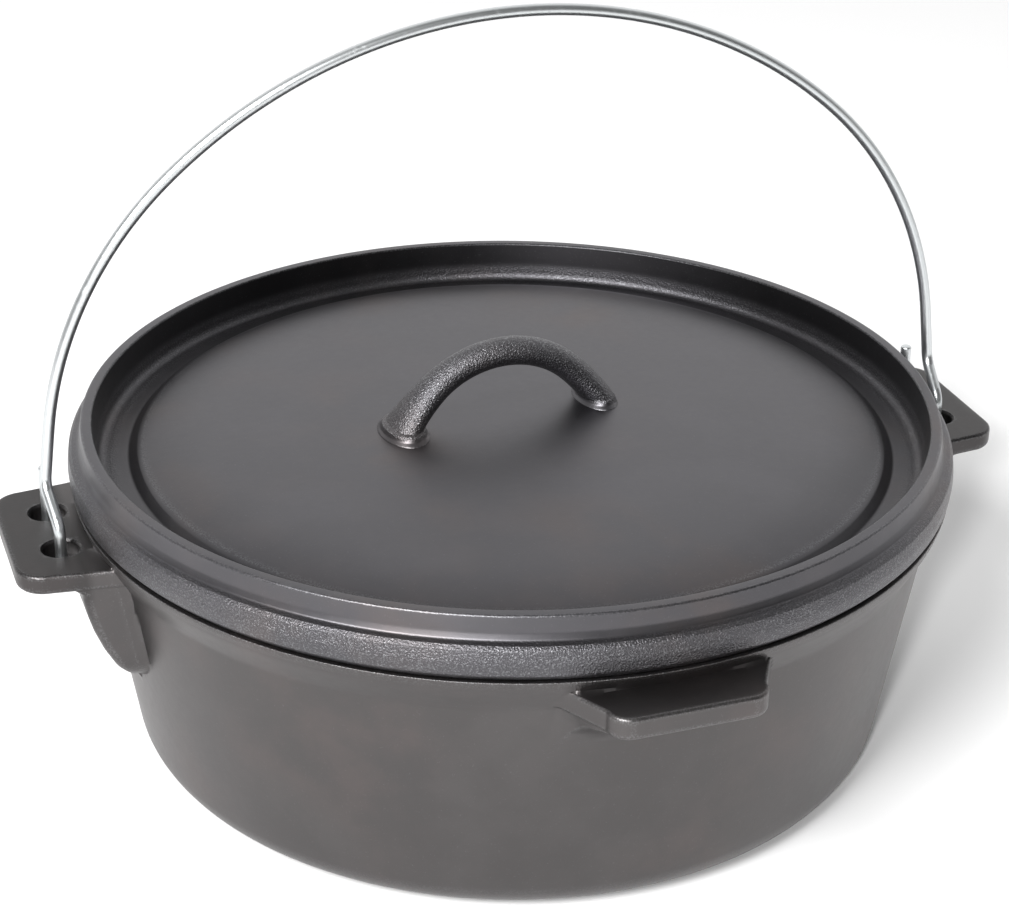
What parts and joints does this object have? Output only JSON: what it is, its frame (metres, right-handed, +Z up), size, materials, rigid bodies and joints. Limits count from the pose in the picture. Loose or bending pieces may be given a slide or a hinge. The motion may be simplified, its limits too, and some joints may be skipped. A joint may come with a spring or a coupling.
{
  "type": "cast iron dutch oven",
  "caption": "Flat-bottomed cast iron cooking pot with drilled side ears, tipping tabs, a flanged lid with a raised rim and loop handle, and a wire bail.",
  "frame": {"origin": "centre of the pot's flat base, on the surface it stands on", "axes": "+Z up; +X towards one drilled ear, along the lid's handle and under the bail's arch; +Y towards one tipping tab"},
  "size_m": [0.3596, 0.3384, 0.2633],
  "materials": {
    "pot_iron": "oil-seasoned sand-cast iron, fine grain",
    "lid_iron": "oil-seasoned sand-cast iron, fine grain",
    "bail_wire": "zinc-plated drawn steel wire"
  },
  "bodies": {
    "pot_body": {"pot": "pot_iron"},
    "lid_body": {"lid": "lid_iron"},
    "bail_body": {"bail": "bail_wire"}
  },
  "joints": [
    {"name": "lid_lift", "type": "slide", "parent": "pot_body", "child": "lid_body", "axis": [0, 0, 1], "range_m": [0, 0.03]},
    {"name": "bail_swing", "type": "hinge", "parent": "pot_body", "child": "bail_body", "pos_m": [0, 0, 0.0935], "axis": [1, 0, 0], "range_deg": [-27, 27]}
  ]
}
